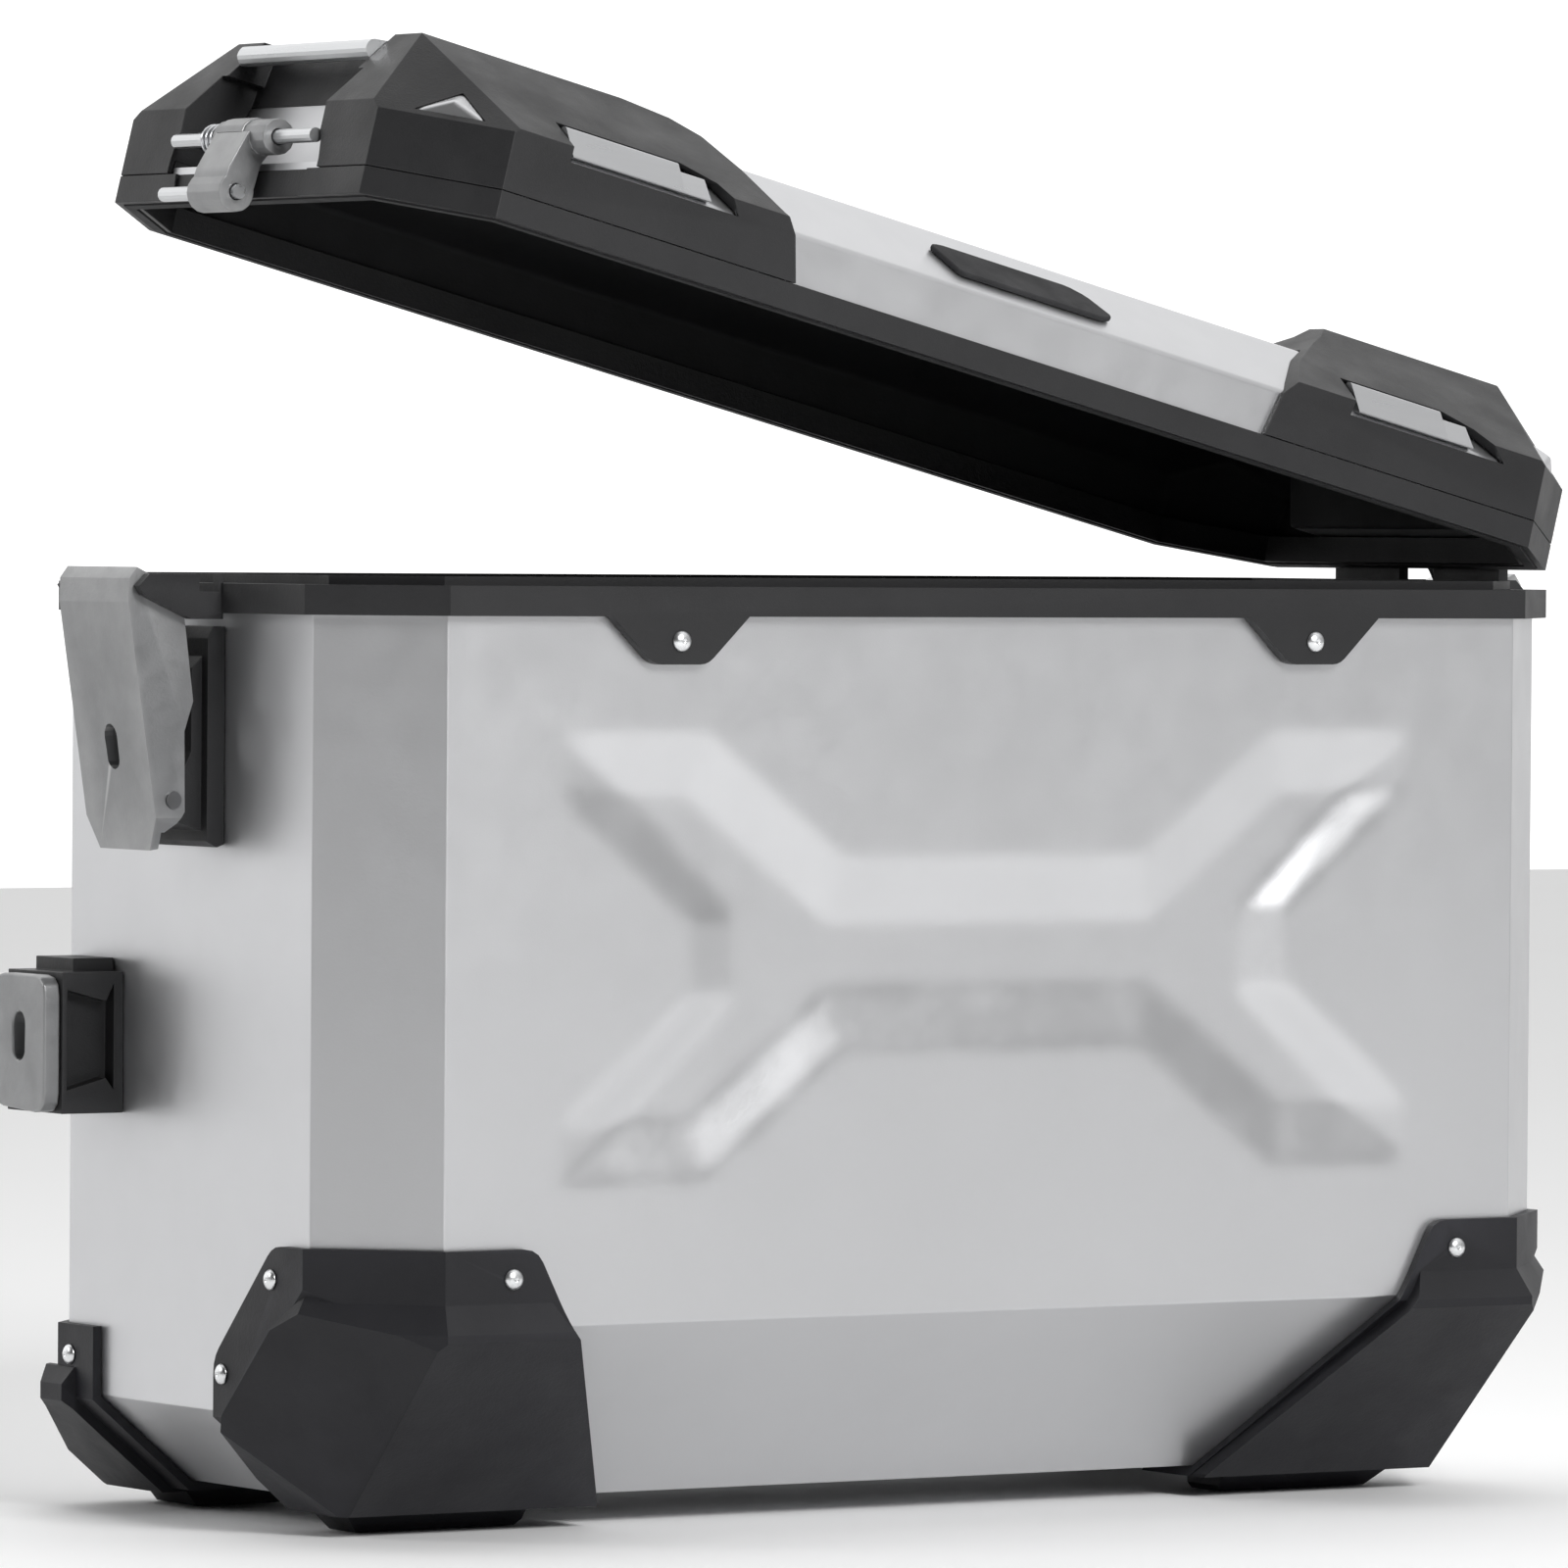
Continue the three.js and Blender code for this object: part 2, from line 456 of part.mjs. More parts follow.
// The slanted facet over the corner bevel of a cap, from the fold up to the end of the shoulder.
function capCorner(fold, top) {
  const out = (L + D - CORNER) * Math.SQRT1_2 + LID_OVERHANG;
  const inner = (230 + 61) * Math.SQRT1_2;
  const outward = new THREE.Vector3(Math.SQRT1_2, -Math.SQRT1_2, 0);
  const normal = outward.clone().multiplyScalar(top - fold).setZ(out - inner).normalize();
  const foot = outward.clone().multiplyScalar(out).setZ(at(fold));
  return beyond(normal.toArray(), normal.dot(foot));
}
const raised = (points) => points.map(([x, z]) => [x, at(z)]);
function lidCap(frontProfile, rearProfile, frontSlot, rearSlot) {
  const section = lidSide(0, CAP_FOLD, CAP_TOP, CAP_SLOPE_RUN).map(([y, z]) => [y * CAP_WIDEN, z]);
  const body = prismZ(offsetLoop(PLAN, LID_OVERHANG), at(LID_BAND + GAP), at(120))
    .intersect(prismX(section, -400, 400));
  const corner = capCorner(CAP_FOLD, CAP_TOP);
  const along = prismY(raised(frontProfile), -200, 0).add(prismY(raised(rearProfile), -0.001, 200));
  const outer = body.intersect(along)
    .subtract(corner).subtract(mirrorY(corner));
  const open = prismZ([[90, -52], [196, -52], [206, -42], [206, 42], [196, 52], [90, 52]], at(20), at(90));
  const recess = prismY(raised([[236, 5], [229, 30], [222.6, 70], [300, 70], [300, 5]]), -47, 47);
  const scoop = recess.subtract(block(200, 300, -60, -43.3, at(47), at(90)))
    .subtract(block(200, 300, 43.3, 60, at(47), at(90)));
  const mouth = prismX(roundedOutline([[-50, at(5)], [50, at(5)], [50, at(27)], [-50, at(27)]], [0, 0, 14, 14]),
    230, 300);
  const slots = prismY(raised(frontSlot), -130, -84).add(prismY(raised(rearSlot), 84, 130));
  return outer.subtract(lidShape(GAP, 0).subtract(pocketTool(-GAP))).subtract(open)
    .subtract(scoop).subtract(mouth).subtract(slots);
}
const halfTurn = (shape) => reflect(reflect(shape, -1, 1), 1, -1);
add('lid_cap_right', lidCap(HINGE_CAP, HINGE_CAP_REAR, SLOT_FRONT, SLOT_REAR), 'black', true);
add('lid_cap_left', mirrorX(lidCap(LATCH_CAP, LATCH_CAP, SLOT_REAR, SLOT_FRONT)), 'black', true);

// Lashing bars: one between the shoulders of each end and one in each side slot.
const END_BAR = [[230, 54], [237, 51], [240, 54.5], [238.5, 58.3], [231, 59.2]];
const endBar = prismY(roundedOutline(raised(END_BAR), 1.5, 2), -43, 43);
add('tie_bar_end_right', endBar, 'steel', true);
add('tie_bar_end_left', mirrorX(endBar), 'steel', true);
const BAR_BACK = [[-115.8, at(27.2)], [-112.4, at(27.2)], [-103.2, at(36.4)], [-104.2, at(38.3)],
  [-106.6, at(38.1)]];
const BAR_LIP = [[-115.8, at(27.2)], [-112.4, at(27.2)], [-106.2, at(33.4)], [-107.6, at(35.6)]];
const sideBar = (x0, x1, x2) => prismX(roundedOutline(BAR_BACK, 0.8, 2), Math.min(x0, x1), Math.max(x0, x1))
  .add(prismX(roundedOutline(BAR_LIP, 0.8, 2), Math.min(x0, x2), Math.max(x0, x2)));
const barFront = sideBar(136.5, 176, 187);
const barRear = mirrorY(sideBar(194.5, 149, 138.5));
add('tie_bar_front_right', barFront, 'steel', true);
add('tie_bar_rear_left', halfTurn(barFront), 'steel', true);
add('tie_bar_rear_right', barRear, 'steel', true);
add('tie_bar_front_left', halfTurn(barRear), 'steel', true);

// Grip pads let into the sloping sides of the lid.
const padLoop = roundedOutline([[-38, 2], [-31, 17.5], [29, 17.5], [35, 14.5], [28, 3.5], [21, 0], [-33, 0]]
  .map(([x, y]) => [x, 18 - y]).reverse(), 1.5, 1);
const padGeometry = extrude(padLoop, 2).translate(0, 0, GAP);
const slopeAngle = Math.atan2(LID_TOP - LID_FOLD, 33.5);
padGeometry.rotateX(slopeAngle).translate(0, -D + 6, at(LID_FOLD) + 6 * Math.tan(slopeAngle));
const pad = solid(padGeometry);
add('lid_pad_front', pad, 'rubber', true);
add('lid_pad_rear', mirrorY(pad), 'rubber', true);

// ---- catches ------------------------------------------------------------
const [BX, BZ] = CATCH_BAR;
const catchBar = rodY(BX, BZ, 2.5, -46.5, 46.5);
add('catch_bar_right', catchBar, 'steel', true);
add('catch_bar_left', mirrorX(catchBar), 'steel', true);

// The hinge-end catch is fixed to its bar and its pin is what the lid turns on.
const hingeArm = prismY([[258, at(25)], [253, at(26.5)], [248, at(23)], [248, at(16)], [255.5, at(12.5)],
  [267, at(3)], [272.5, at(-3)], [272.5, at(-10)], [277.5, at(-13.5)], [282, at(-10)], [281.5, at(-4)],
  [277, at(2)], [268, at(13)], [260, at(20)]], -9, 9);
const hingePin = rodY(HINGE_X, HINGE_Z, 2.2, -19.5, 19.5);
add('hinge_catch', hingeArm
  .subtract(rodY(BX, BZ, 2.8, -20, 20)).subtract(rodY(HINGE_X, HINGE_Z, 2.5, -20, 20)),
  'cast', true);
add('hinge_pin', hingePin, 'steel', true);

// The other catch hangs from its bar: built hanging, after the bar has moved with the lid.
const swung = new THREE.Vector3(-BX, 0, BZ).applyMatrix4(LID_POSE);
const toHanging = new THREE.Matrix4().makeTranslation(swung.x, 0, swung.z);
const knuckle = rodY(0, 0, 6.2, -22, 12).add(rodY(0, 0, 6.8, -8, 8));
const arm = prismY([[-6.5, 2], [5, 2], [4, -3], [-1.5, -9], [-5, -20], [-11, -25], [-17.5, -20], [-14, -10]],
  -13, 9);
const boss = rodY(-11, -18.5, 6.8, -13, 9, 16);
const catchBody = knuckle.add(arm).add(boss).subtract(rodY(0, 0, 2.8, -60, 60))
  .subtract(rodY(-11, -18.5, 2.8, -60, 60));
add('catch_hook', catchBody, 'cast', false, toHanging);
add('catch_pin', rodY(-11, -18.5, 2.5, -15, 36), 'steel', false, toHanging);

// Spring coils on the catch bars, each a stack of touching turns.
function springCoil(low, turns, pitch) {
  const profile = [new THREE.Vector2(2.8, low)];
  for (let i = 0; i < turns; i += 1) {
    profile.push(new THREE.Vector2(4.2, low + i * pitch));
    profile.push(new THREE.Vector2(5.4, low + (i + 0.5) * pitch));
  }
  profile.push(new THREE.Vector2(4.2, low + turns * pitch));
  profile.push(new THREE.Vector2(2.8, low + turns * pitch));
  profile.push(profile[0]);
  return solid(new THREE.LatheGeometry(profile, 12));
}
const coil = springCoil(13, 5, 2.2);
const coilGeometryMove = new THREE.Matrix4().makeTranslation(-BX, 0, BZ);
add('catch_spring', coil, 'steel', true, coilGeometryMove);

export default group;
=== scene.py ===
"""Looks of a hard aluminium motorcycle pannier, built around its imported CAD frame."""
import json
import math

import bmesh
import bpy
import numpy as np
from mathutils import Matrix, Vector
from mathutils.bvhtree import BVHTree


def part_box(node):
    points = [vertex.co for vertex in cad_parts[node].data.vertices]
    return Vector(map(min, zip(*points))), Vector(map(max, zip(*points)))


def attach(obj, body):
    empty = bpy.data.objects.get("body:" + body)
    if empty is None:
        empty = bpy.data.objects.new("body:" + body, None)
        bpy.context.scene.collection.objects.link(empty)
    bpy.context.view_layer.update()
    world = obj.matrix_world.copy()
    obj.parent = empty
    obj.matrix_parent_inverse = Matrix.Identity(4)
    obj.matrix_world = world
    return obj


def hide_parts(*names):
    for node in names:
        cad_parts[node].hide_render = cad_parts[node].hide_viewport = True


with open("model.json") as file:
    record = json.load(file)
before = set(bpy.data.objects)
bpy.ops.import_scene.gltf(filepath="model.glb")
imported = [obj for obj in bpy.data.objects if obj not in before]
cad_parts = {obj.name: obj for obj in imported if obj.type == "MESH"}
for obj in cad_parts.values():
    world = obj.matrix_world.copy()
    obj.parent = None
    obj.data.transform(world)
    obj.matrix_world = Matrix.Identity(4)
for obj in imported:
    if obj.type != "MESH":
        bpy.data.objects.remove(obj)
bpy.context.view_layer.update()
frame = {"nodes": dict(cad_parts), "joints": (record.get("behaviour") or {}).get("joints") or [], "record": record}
nodes = frame["nodes"]
joints = {j["name"]: j for j in frame["joints"]}
BODY_OF = {n: body for body, names in frame["record"]["behaviour"]["bodies"].items() for n in names}
SLOT_OF = {s["node"]: s["material_slot"] for s in frame["record"]["subparts"]}

# ---- frame values --------------------------------------------------------
MM = 0.001
CENTRE_Y = joints["lid_hinge"]["pos_m"][1]
HINGE = Vector(joints["lid_hinge"]["pos_m"])
LID_OPEN = math.radians(-joints["lid_hinge"]["range_deg"][0])
LID_BASE = 319.3 * MM
LID_TURN = (Matrix.Translation(HINGE) @ Matrix.Rotation(LID_OPEN, 4, "Y") @ Matrix.Translation(-HINGE))


# ---- materials -----------------------------------------------------------
class Finish:
    """One procedural material: a Principled shader with its colour, roughness and bump fed by noise."""

    def __init__(self, name, metallic, roughness):
        self.mat = bpy.data.materials.new(name)
        self.mat.use_nodes = True
        self.tree = self.mat.node_tree
        self.shader = next(n for n in self.tree.nodes if n.type == "BSDF_PRINCIPLED")
        self.shader.inputs["Metallic"].default_value = metallic
        self.shader.inputs["Roughness"].default_value = roughness
        self.coords = self.tree.nodes.new("ShaderNodeTexCoord")
        self.last_normal = None

    def link(self, a, b):
        self.tree.links.new(a, b)

    def noise(self, scale, detail=4.0, stretch=(1, 1, 1), rough=0.55):
        mapping = self.tree.nodes.new("ShaderNodeMapping")
        mapping.inputs["Scale"].default_value = stretch
        self.link(self.coords.outputs["Object"], mapping.inputs["Vector"])
        noise = self.tree.nodes.new("ShaderNodeTexNoise")
        noise.inputs["Scale"].default_value = scale
        noise.inputs["Detail"].default_value = detail
        noise.inputs["Roughness"].default_value = rough
        self.link(mapping.outputs["Vector"], noise.inputs["Vector"])
        return noise.outputs["Fac"]

    def voronoi(self, scale):
        cell = self.tree.nodes.new("ShaderNodeTexVoronoi")
        cell.inputs["Scale"].default_value = scale
        self.link(self.coords.outputs["Object"], cell.inputs["Vector"])
        return cell.outputs["Distance"]

    def ramp(self, value, stops):
        ramp = self.tree.nodes.new("ShaderNodeValToRGB")
        elements = ramp.color_ramp.elements
        while len(elements) < len(stops):
            elements.new(0.5)
        for element, (at, colour) in zip(elements, stops):
            element.position = at
            element.color = (*colour, 1) if isinstance(colour, tuple) else (colour, colour, colour, 1)
        self.link(value, ramp.inputs["Fac"])
        return ramp.outputs["Color"]

    def mix(self, factor, a, b):
        mix = self.tree.nodes.new("ShaderNodeMix")
        mix.data_type = "RGBA"
        self.link(factor, mix.inputs["Factor"])
        self.link(a, mix.inputs["A"])
        self.link(b, mix.inputs["B"])
        return mix.outputs["Result"]

    def edge_wear(self, low=0.52, high=0.62):
        """Brightens convex edges: the pointiness of the surface."""
        geometry = self.tree.nodes.new("ShaderNodeNewGeometry")
        return self.ramp(geometry.outputs["Pointiness"], [(low, 0.0), (high, 1.0)])

    def colour(self, socket):
        self.link(socket, self.shader.inputs["Base Color"])

    def roughness(self, value, low, high):
        ramp = self.ramp(value, [(0.3, low), (0.7, high)])
        self.link(ramp, self.shader.inputs["Roughness"])

    def bump(self, height, strength, distance):
        bump = self.tree.nodes.new("ShaderNodeBump")
        bump.inputs["Strength"].default_value = strength
        bump.inputs["Distance"].default_value = distance
        self.link(height, bump.inputs["Height"])
        if self.last_normal:
            self.link(self.last_normal, bump.inputs["Normal"])
        self.last_normal = bump.outputs["Normal"]
        self.link(self.last_normal, self.shader.inputs["Normal"])


def sheet_aluminium(name, light, dark):
    """Blasted and anodised sheet: a satin metal with very fine grain and faint handling marks."""
    f = Finish(name, 0.90, 0.36)
    cloud = f.noise(5.0, 3.0)
    grain = f.noise(1500.0, 2.0)
    f.colour(f.ramp(cloud, [(0.3, dark), (0.7, light)]))
    f.roughness(f.noise(60.0, 5.0), 0.33, 0.40)
    f.bump(grain, 0.12, 0.0002)
    f.bump(f.noise(9.0, 2.0), 0.05, 0.002)
    return f.mat


def moulded_plastic(name, light, dark, grain_scale, grain, rough):
    """Injection-moulded plastic: spark-eroded grain, slightly greyer where rubbed."""
    f = Finish(name, 0.0, rough)
    f.shader.inputs["Specular IOR Level"].default_value = 0.36
    base = f.ramp(f.noise(18.0, 4.0), [(0.3, dark), (0.7, light)])
    worn = f.ramp(f.noise(90.0, 3.0), [(0.0, tuple(min(1, c * 1.9) for c in light)), (1.0, light)])
    f.colour(f.mix(f.edge_wear(), base, worn))
    f.roughness(f.noise(40.0, 4.0), rough - 0.07, rough + 0.07)
    f.bump(f.noise(grain_scale, 3.0, rough=0.7), grain, 0.0003)
    f.bump(f.voronoi(grain_scale * 0.45), grain * 0.4, 0.0002)
    return f.mat


def cast_metal(name):
    """Blasted die casting: grey, rough, and polished a little on its edges."""
    f = Finish(name, 0.75, 0.42)
    base = f.ramp(f.noise(70.0, 6.0), [(0.25, (0.235, 0.238, 0.242)), (0.75, (0.275, 0.278, 0.282))])
    bright = f.ramp(f.noise(200.0, 2.0), [(0.0, (0.62, 0.62, 0.62)), (1.0, (0.72, 0.72, 0.72))])
    f.colour(f.mix(f.edge_wear(0.53, 0.66), base, bright))
    f.roughness(f.noise(120.0, 4.0), 0.34, 0.52)
    f.bump(f.noise(900.0, 3.0, rough=0.7), 0.25, 0.0003)
    f.bump(f.noise(160.0, 4.0), 0.08, 0.0004)
    return f.mat


def drawn_steel(name, colour, stretch):
    """Bright drawn metal with fine lines along its length."""
    f = Finish(name, 0.92, 0.30)
    lines = f.noise(300.0, 1.0, stretch)
    f.colour(f.ramp(lines, [(0.3, tuple(c * 0.97 for c in colour)), (0.7, colour)]))
    f.roughness(lines, 0.27, 0.32)
    f.bump(lines, 0.015, 0.00005)
    return f.mat


def soft_rubber(name):
    f = Finish(name, 0.0, 0.8)
    f.colour(f.ramp(f.noise(50.0, 4.0), [(0.3, (0.012, 0.012, 0.013)), (0.7, (0.024, 0.024, 0.026))]))
    f.roughness(f.noise(80.0, 3.0), 0.7, 0.9)
    f.bump(f.noise(1400.0, 2.0), 0.3, 0.0002)
    return f.mat


MATS = {
    "aluminium": sheet_aluminium("anodised_sheet", (0.63, 0.633, 0.646), (0.60, 0.603, 0.615)),
    "black_plastic": moulded_plastic(
        "grained_black", (0.017, 0.017, 0.018), (0.012, 0.012, 0.013), 1300.0, 0.35, 0.50),
    "guard_plastic": moulded_plastic(
        "guard_black", (0.012, 0.012, 0.015), (0.008, 0.008, 0.010), 900.0, 0.30, 0.55),
    "cast_metal": cast_metal("blasted_casting"),
    "steel": drawn_steel("drawn_steel", (0.62, 0.63, 0.64), (1, 0.06, 1)),
    # The tie bars under the lid caps: the same drawn steel painted darker, a painted shade of the caps over them.
    "steel_in_painted_shade": drawn_steel("drawn_steel_painted_shade", (0.50, 0.505, 0.515), (0.06, 1, 1)),
    "pin_steel": drawn_steel("pin_steel", (0.20, 0.202, 0.206), (1, 1, 1)),
    "rivet": drawn_steel("rivet_metal", (0.80, 0.81, 0.82), (1, 1, 1)),
    "spring": drawn_steel("spring_wire", (0.62, 0.63, 0.65), (1, 1, 1)),
    "rubber": soft_rubber("matt_rubber"),
}
# A near-black moulded finish, given to the faces of the lid's underside.
LID_UNDERSIDE_COLOUR = moulded_plastic("lid_underside_near_black", (0.010, 0.010, 0.011), (0.007, 0.007, 0.008), 700.0, 0.3, 0.7)


def material_for(node):
    slot = SLOT_OF[node]
    if "rivet" in node:
        return MATS["rivet"]
    if node.startswith("latch_pin"):
        return MATS["pin_steel"]
    # The front and back tie bars take the darker steel: painted shade of the caps over them.
    if node.startswith("tie_bar_front") or node.startswith("tie_bar_rear"):
        return MATS["steel_in_painted_shade"]
    return MATS[slot]


for name, obj in nodes.items():
    obj.data.materials.clear()
    obj.data.materials.append(material_for(name))


# ---- pieces made from the frame's own solids ------------------------------
MERGE_DISTANCE = 2e-6
FLAT_ANGLE = math.radians(0.6)
NORMAL_WEIGHT = 90
SHARP_ANGLE = 28.0
ROUND_ANGLE = 18.0


def edge_angle(edge):
    return math.degrees(edge.calc_face_angle(0.0)) if len(edge.link_faces) == 2 else 0.0


def soften(node, rounds, sharp=SHARP_ANGLE):
    """A finer copy of a CAD solid with its edges rounded. rounds holds (test, width, segments)."""
    mesh = nodes[node].data.copy()
    obj = bpy.data.objects.new(node + "_finished", mesh)
    bpy.context.scene.collection.objects.link(obj)
    bm = bmesh.new()
    bm.from_mesh(mesh)
    bmesh.ops.remove_doubles(bm, verts=bm.verts, dist=MERGE_DISTANCE)
    bmesh.ops.dissolve_limit(bm, angle_limit=FLAT_ANGLE, verts=bm.verts, edges=bm.edges)
    for test, width, segments in rounds:
        edges = [e for e in bm.edges if len(e.link_faces) == 2 and test(e, edge_angle(e))]
        if edges:
            bmesh.ops.bevel(bm, geom=edges, offset=width, offset_type="OFFSET", segments=segments,
                            profile=0.5, affect="EDGES", clamp_overlap=True)
    bm.to_mesh(mesh)
    bm.free()
    mesh.shade_smooth()
    mesh.set_sharp_from_angle(angle=math.radians(sharp))
    mesh.materials.clear()
    mesh.materials.append(material_for(node))
    weighted = obj.modifiers.new("normals", "WEIGHTED_NORMAL")
    weighted.keep_sharp = True
    weighted.weight = NORMAL_WEIGHT
    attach(obj, BODY_OF[node])
    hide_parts(node)
    return obj


def any_edge(low):
    return lambda e, a: a > low


# Each: (width of the rounding in mm, its segments).
ROUND_ALL = {
    "guard_front_left": (1.2, 2), "guard_front_right": (1.2, 2), "guard_rear_left": (1.0, 2),
    "guard_rear_right": (1.0, 2), "lid_cap_left": (1.1, 2), "lid_cap_right": (1.1, 2),
    "lid_frame": (0.5, 2), "rim_frame": (0.5, 2),
    "latch_lever_left": (0.9, 2), "latch_lever_right": (0.9, 2),
    "latch_base_left": (0.7, 2), "latch_base_right": (0.7, 2), "carrier_lock_base": (1.2, 3),
    "carrier_lock_cap": (1.3, 3), "lid_pad_front": (0.6, 2), "lid_pad_rear": (0.6, 2),
    "hinge_catch": (0.9, 2), "catch_hook": (0.9, 2),
}
# Pieces whose shallow creases stay crisp, with the angle in degrees from which they do.
SHARPER = {"latch_lever_left": 9.0, "latch_lever_right": 9.0, "lid_cap_left": 14.0, "lid_cap_right": 14.0,
           "guard_front_left": 12.0, "guard_front_right": 12.0}
for node, (width, segments) in ROUND_ALL.items():
    soften(node, [(any_edge(ROUND_ANGLE), width * MM, segments)], SHARPER.get(node, SHARP_ANGLE))

# The long bends of the case and of the lid, with angles in degrees.
FOLD_RADIUS = 1.6 * MM
FOLD_SEGMENTS = 3
FOLD_ANGLES = (30.0, 60.0)
FOLD_LENGTH = 30 * MM
FOLD_BOTTOM = 8 * MM
LID_FOLD_ANGLE = 15.0
LID_FOLD_LENGTH = 15 * MM


def is_fold(e, a):
    """True for the case's long bends, clear of the plain bottom edge."""
    mid = (e.verts[0].co + e.verts[1].co) / 2
    return FOLD_ANGLES[0] < a < FOLD_ANGLES[1] and e.calc_length() > FOLD_LENGTH and mid.z > FOLD_BOTTOM


def is_lid_fold(e, a):
    return a > LID_FOLD_ANGLE and e.calc_length() > LID_FOLD_LENGTH


# The pressed panels of the front and back walls: their depth is measured on the CAD solid, and its folds
# are eased the way sheet flows over a press tool.
PRESS_X = 186 * MM
PRESS_LOW, PRESS_HIGH = 111 * MM, 278 * MM
PRESS_STEP = 2.2 * MM
PRESS_EASE = 2.3 * MM
PRESS_DEPTH = 5 * MM
PRESS_RAY_START = 50 * MM
EASE_REACH = 3
FACING_WALL = 0.5


def eased(depth):
    """A depth grid blurred by PRESS_EASE, with its rim held."""
    reach = math.ceil(EASE_REACH * PRESS_EASE / PRESS_STEP)
    weights = np.exp(-0.5 * (np.arange(-reach, reach + 1) * PRESS_STEP / PRESS_EASE) ** 2)
    weights /= weights.sum()
    for axis in (0, 1):
        padded = np.pad(depth, [(reach, reach) if a == axis else (0, 0) for a in (0, 1)], mode="edge")
        depth = np.apply_along_axis(lambda line: np.convolve(line, weights, mode="valid"), axis, padded)
    return depth


def press_wall(bm, solid, side):
    """Swaps the pressed panel of one wall (side -1 front, +1 back) for a finely divided, eased one."""
    low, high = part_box("body_shell")
    wall = low.y if side < 0 else high.y
    inside = []
    for face in bm.faces:
        middle = face.calc_center_median()
        near = abs(middle.y - wall) < PRESS_DEPTH and abs(middle.x) < PRESS_X
        if face.normal.y * side > FACING_WALL and near and PRESS_LOW < middle.z < PRESS_HIGH:
            inside.append(face)
    bmesh.ops.delete(bm, geom=inside, context="FACES")
    columns = round(2 * PRESS_X / PRESS_STEP)
    rows = round((PRESS_HIGH - PRESS_LOW) / PRESS_STEP)
    xs = np.linspace(-PRESS_X, PRESS_X, columns + 1)
    zs = np.linspace(PRESS_LOW, PRESS_HIGH, rows + 1)
    start = wall + side * PRESS_RAY_START
    inward = Vector((0, -side, 0))
    depth = np.array([[solid.ray_cast(Vector((x, start, z)), inward)[0].y - wall for z in zs] for x in xs])
    depth[0] = depth[-1] = 0
    depth[:, 0] = depth[:, -1] = 0
    depth = eased(depth)
    grid = [[bm.verts.new((x, wall + d, z)) for z, d in zip(zs, line)] for x, line in zip(xs, depth)]
    for a, b in zip(grid, grid[1:]):
        for k in range(rows):
            ring = (a[k], b[k], b[k + 1], a[k + 1])
            bm.faces.new(ring if side < 0 else ring[::-1]).smooth = True


shell = soften("body_shell", [(is_fold, FOLD_RADIUS, FOLD_SEGMENTS)])
source = nodes["body_shell"].data
solid = BVHTree.FromPolygons([v.co.copy() for v in source.vertices],
                             [tuple(f.vertices) for f in source.polygons])
bm = bmesh.new()
bm.from_mesh(shell.data)
PANEL_CUTS = (((PRESS_X, 0, 0), (1, 0, 0)), ((-PRESS_X, 0, 0), (1, 0, 0)),
              ((0, 0, PRESS_LOW), (0, 0, 1)), ((0, 0, PRESS_HIGH), (0, 0, 1)))
for point, normal in PANEL_CUTS:
    everything = bm.verts[:] + bm.edges[:] + bm.faces[:]
    bmesh.ops.bisect_plane(bm, geom=everything, plane_co=point, plane_no=normal)
bm.normal_update()
for side in (-1, 1):
    press_wall(bm, solid, side)
bm.to_mesh(shell.data)
bm.free()
lid_skin = soften("lid_panel", [(is_lid_fold, FOLD_RADIUS, FOLD_SEGMENTS)])

# The underside of the lid is coloured near black: every face that looks back at the middle of the lid.
lid_skin.data.materials.append(LID_UNDERSIDE_COLOUR)
UNDERSIDE_TEST_HEIGHT = 15 * MM
lid_middle = LID_TURN @ Vector((0, CENTRE_Y, LID_BASE + UNDERSIDE_TEST_HEIGHT))
for face in lid_skin.data.polygons:
    if face.normal.dot(face.center - lid_middle) < 0:
        face.material_index = 1


# ---- turned rivets and the coil spring -------------------------------------
TURNED_SHARP = math.radians(35.0)


def finish_piece(obj, node):
    """Puts a finer piece in a node's place, on the same body and slot."""
    obj.data.shade_smooth()
    obj.data.set_sharp_from_angle(angle=TURNED_SHARP)
    obj.data.materials.clear()
    obj.data.materials.append(material_for(node))
    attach(obj, BODY_OF[node])
    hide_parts(node)
    return obj


def skinned(name, rings):
    """A closed mesh object over a row of rings of points, with both ends capped."""
    bm = bmesh.new()
    loops = [[bm.verts.new(point) for point in ring] for ring in rings]
    for a, b in zip(loops, loops[1:]):
        for i in range(len(a)):
            j = (i + 1) % len(a)
            bm.faces.new((a[i], b[i], b[j], a[j]))
    bm.faces.new(loops[0])
    bm.faces.new(list(reversed(loops[-1])))
    bmesh.ops.recalc_face_normals(bm, faces=bm.faces)
    mesh = bpy.data.meshes.new(name)
    bm.to_mesh(mesh)
    bm.free()
    obj = bpy.data.objects.new(name, mesh)
    bpy.context.scene.collection.objects.link(obj)
    return obj


# (radius, height) in mm from the middle of the dimple, over the dome and down to its seat.
RIVET_PROFILE = [
    (0.35, 1.45), (0.75, 1.62), (0.95, 1.8), (0.9, 1.76), (1.7, 1.6), (2.5, 1.25),
    (3.1, 0.8), (3.42, 0.38), (3.5, 0.05), (3.42, 0.0),
]
RIVET_HEAD = 1.8 * MM
RIVET_SHANK = 1.7 * MM
RIVET_SIDES = 36
FACING = {"front": Vector((0, -1, 0)), "back": Vector((0, 1, 0)), "left": Vector((-1, 0, 0)),
          "right": Vector((1, 0, 0))}


def rivet_facing(node):
    side = "left" if node.endswith("left") else "right"
    if "_end_" in node:
        return FACING[side]
    return FACING["back" if ("back" in node or "guard_rivet_rear" in node) else "front"]


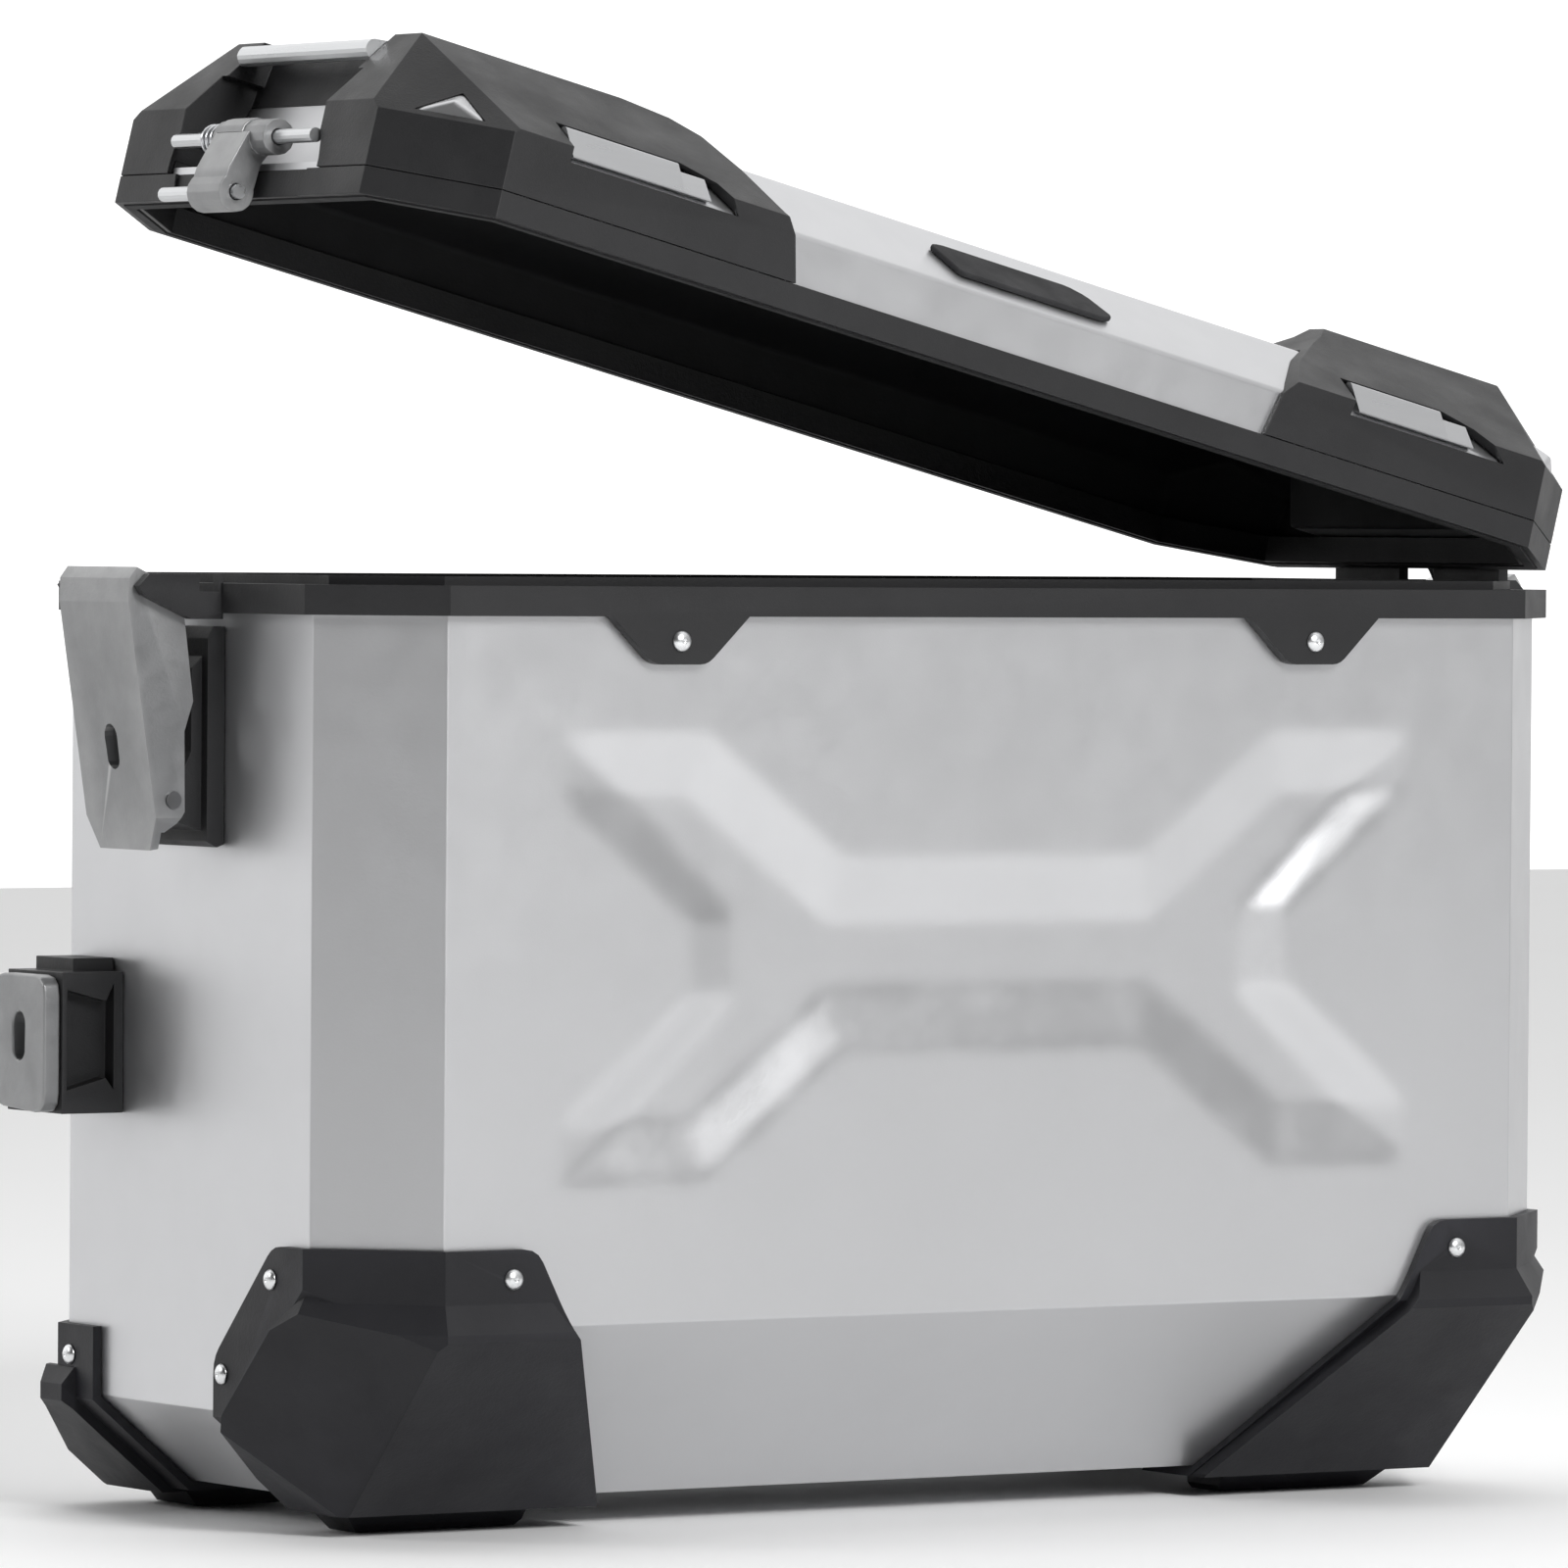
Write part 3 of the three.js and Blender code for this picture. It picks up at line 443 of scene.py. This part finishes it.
def turned_rivet(node):
    """A domed rivet head with a small centre dimple, over its shank."""
    low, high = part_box(node)
    out = rivet_facing(node)
    centre = (low + high) / 2
    reach = max((high - centre).dot(out), (low - centre).dot(out))
    depth = 2 * reach
    head = centre + out * (reach - RIVET_HEAD)
    turn = out.to_track_quat("Z", "Y").to_matrix()
    profile = [(r * MM, h * MM) for r, h in RIVET_PROFILE]
    profile += [(RIVET_SHANK, 0.0), (RIVET_SHANK, RIVET_HEAD - depth)]
    angles = [2 * math.pi * i / RIVET_SIDES for i in range(RIVET_SIDES)]
    rings = [[head + turn @ Vector((radius * math.cos(t), radius * math.sin(t), height)) for t in angles]
             for radius, height in profile]
    return finish_piece(skinned(node + "_turned", rings), node)


for node in [n for n in nodes if "rivet" in n]:
    turned_rivet(node)

SPRING_TURNS = 3
SPRING_STEPS = 24
SPRING_SIDES = 10
SPRING_WIRE = 0.95 * MM


def coil_spring(node):
    """The catch's return spring as a wound wire, inside the room of its CAD ring."""
    low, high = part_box(node)
    size = high - low
    radius = min(size.x, size.z) / 2 - SPRING_WIRE
    centre = (low + high) / 2
    travel = size.y - 2 * SPRING_WIRE
    steps = SPRING_TURNS * SPRING_STEPS
    around = [2 * math.pi * i / SPRING_SIDES for i in range(SPRING_SIDES)]
    along = Vector((0, 1, 0))
    rings = []
    for k in range(steps + 1):
        t = 2 * math.pi * k / SPRING_STEPS
        out = Vector((math.cos(t), 0, math.sin(t)))
        middle = centre + out * radius + along * (travel * (k / steps - 0.5))
        rings.append([middle + (out * math.cos(p) + along * math.sin(p)) * SPRING_WIRE for p in around])
    obj = finish_piece(skinned(node + "_wound", rings), node)
    obj.data.materials[0] = MATS["spring"]


coil_spring("catch_spring")

# ---- floor, light and camera ----------------------------------------------
floor_mesh = bpy.data.meshes.new("floor")
FLOOR_REACH = 6.0
FLOOR_Z = -0.3 * MM
CORNERS = ((-1, -1), (1, -1), (1, 1), (-1, 1))
floor_mesh.from_pydata([(x * FLOOR_REACH, y * FLOOR_REACH, FLOOR_Z) for x, y in CORNERS], [], [(0, 1, 2, 3)])
floor = bpy.data.objects.new("floor", floor_mesh)
bpy.context.scene.collection.objects.link(floor)
floor_finish = Finish("floor_paper", 0.0, 0.8)
floor_finish.colour(floor_finish.ramp(floor_finish.noise(2.0), [(0.0, 0.93), (1.0, 0.95)]))
floor_mesh.materials.append(floor_finish.mat)

# The studio is bright all round except for two darker panels, which the bevels and pressings mirror.
# Each: (direction, [(cosine of the angle from it, brightness), ...]).
PANELS = [
    ((-0.75, -0.66, 0.05), [(-0.05, 1.0), (0.26, 0.36), (0.50, 0.0)]),
    ((0.93, -0.36, -0.05), [(0.30, 1.0), (0.70, 0.62), (0.97, 0.25)]),
]
STUDIO_STRENGTH = 1.25
world = bpy.data.worlds.new("studio")
bpy.context.scene.world = world
world.use_nodes = True
sky = world.node_tree
background = next(n for n in sky.nodes if n.type == "BACKGROUND")
sky_coords = sky.nodes.new("ShaderNodeTexCoord")


def panel_shade(direction, stops):
    toward = sky.nodes.new("ShaderNodeVectorMath")
    toward.operation = "DOT_PRODUCT"
    toward.inputs[1].default_value = Vector(direction).normalized()
    sky.links.new(sky_coords.outputs["Generated"], toward.inputs[0])
    shade = sky.nodes.new("ShaderNodeValToRGB")
    while len(shade.color_ramp.elements) < len(stops):
        shade.color_ramp.elements.new(0.5)
    for stop, (where, value) in zip(shade.color_ramp.elements, stops):
        stop.position = where
        stop.color = (value, value, value, 1)
    sky.links.new(toward.outputs["Value"], shade.inputs["Fac"])
    return shade.outputs["Color"]


both = sky.nodes.new("ShaderNodeMix")
both.data_type = "RGBA"
both.blend_type = "MULTIPLY"
both.inputs["Factor"].default_value = 1.0
sky.links.new(panel_shade(*PANELS[0]), both.inputs["A"])
sky.links.new(panel_shade(*PANELS[1]), both.inputs["B"])
sky.links.new(both.outputs["Result"], background.inputs["Color"])
background.inputs["Strength"].default_value = STUDIO_STRENGTH


def area_light(name, location, target, size, power):
    light = bpy.data.lights.new(name, "AREA")
    light.shape = "RECTANGLE"
    light.size, light.size_y = size
    light.energy = power
    obj = bpy.data.objects.new(name, light)
    obj.location = location
    obj.rotation_euler = (Vector(target) - Vector(location)).to_track_quat("-Z", "Y").to_euler()
    bpy.context.scene.collection.objects.link(obj)


area_light("key", (-0.1, -3.0, 2.0), (0, 0, 0.2), (1.2, 1.2), 85)
area_light("left_key", (-2.6, 0.9, 1.5), (-0.2, 0, 0.25), (0.9, 0.9), 14)

# The camera looks past the case's middle: angles in radians, distance in metres, lens and sensor in mm.
VIEW_AZIMUTH = 0.5752
VIEW_ELEVATION = 0.0469
VIEW_ROLL = 0.0075
VIEW_DISTANCE = 4.0038
VIEW_HEIGHT = 0.15
VIEW_CLIP = 50.0
SENSOR = 36.0
LENS = 263.7675
AIM_LEFT = 0.0024055
AIM_UP = 0.0247974
back = Vector((-math.sin(VIEW_AZIMUTH) * math.cos(VIEW_ELEVATION),
               -math.cos(VIEW_AZIMUTH) * math.cos(VIEW_ELEVATION), math.sin(VIEW_ELEVATION)))
right = (-back).cross(Vector((0, 0, 1))).normalized()
up = right.cross(-back)
right, up = (math.cos(VIEW_ROLL) * right + math.sin(VIEW_ROLL) * up,
             -math.sin(VIEW_ROLL) * right + math.cos(VIEW_ROLL) * up)
forward = (-back - right * AIM_LEFT + up * AIM_UP).normalized()
right = forward.cross(up).normalized()
up = right.cross(forward)
camera_data = bpy.data.cameras.new("camera")
camera_data.sensor_width = SENSOR
camera_data.lens = LENS
camera_data.clip_end = VIEW_CLIP
camera = bpy.data.objects.new("camera", camera_data)
turn = Matrix((right, up, -forward)).transposed().to_4x4()
stand = back * VIEW_DISTANCE + Vector((0, CENTRE_Y, VIEW_HEIGHT))
camera.matrix_world = Matrix.Translation(stand) @ turn
bpy.context.scene.collection.objects.link(camera)
bpy.context.scene.camera = camera
bpy.context.scene.view_settings.view_transform = "Standard"
